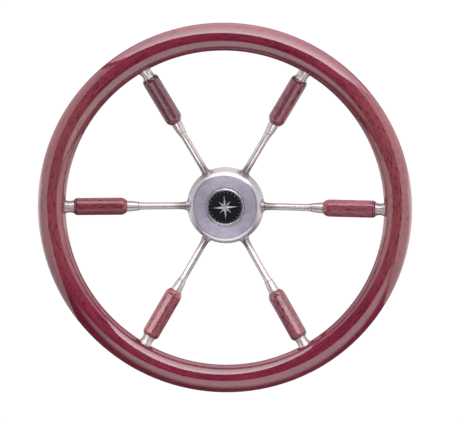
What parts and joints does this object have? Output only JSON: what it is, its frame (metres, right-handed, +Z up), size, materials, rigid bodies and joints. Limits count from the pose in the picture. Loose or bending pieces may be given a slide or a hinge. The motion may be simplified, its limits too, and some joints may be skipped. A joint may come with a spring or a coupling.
{
  "type": "boat steering wheel",
  "caption": "Boat steering wheel with a round hardwood rim, slim stainless spokes that carry wooden grips between turned ferrules, and a rounded hub with a tapered shaft bore.",
  "frame": {"origin": "on the wheel's axis, in the plane of the hub's back face, where the tapered bore opens and the wheel seats on the helm shaft", "axes": "+Y runs along the shaft, out of the back of the hub and into the helm; the wheel's face looks along -Y; +Z is up, through the gap between the two upper spokes; seen from the face, +X points right, along the first spoke"},
  "size_m": [0.4, 0.057, 0.4],
  "materials": {
    "rim_wood": "red-brown hardwood under gloss varnish",
    "grip_wood": "red-brown hardwood under gloss varnish, grain along the spoke",
    "hub_satin": "satin face with a polished shoulder",
    "spoke_polished": "polished",
    "ferrule_polished": "polished, turned",
    "cap_polished": "polished, turned",
    "badge_metal": "struck, satin",
    "badge_enamel": "black, glossy",
    "seal_rubber": "matt"
  },
  "bodies": {
    "root": {"wood_rim": "rim_wood", "hub_body": "hub_satin", "centre_cap": "cap_polished", "cap_seal_ring": "seal_rubber", "badge_plate": "badge_metal", "badge_enamel": "badge_enamel", "spoke_rod_1": "spoke_polished", "inner_ferrule_1": "ferrule_polished", "spoke_grip_1": "grip_wood", "outer_ferrule_1": "ferrule_polished", "spoke_rod_2": "spoke_polished", "inner_ferrule_2": "ferrule_polished", "spoke_grip_2": "grip_wood", "outer_ferrule_2": "ferrule_polished", "spoke_rod_3": "spoke_polished", "inner_ferrule_3": "ferrule_polished", "spoke_grip_3": "grip_wood", "outer_ferrule_3": "ferrule_polished", "spoke_rod_4": "spoke_polished", "inner_ferrule_4": "ferrule_polished", "spoke_grip_4": "grip_wood", "outer_ferrule_4": "ferrule_polished", "spoke_rod_5": "spoke_polished", "inner_ferrule_5": "ferrule_polished", "spoke_grip_5": "grip_wood", "outer_ferrule_5": "ferrule_polished", "spoke_rod_6": "spoke_polished", "inner_ferrule_6": "ferrule_polished", "spoke_grip_6": "grip_wood", "outer_ferrule_6": "ferrule_polished"}
  },
  "joints": []
}
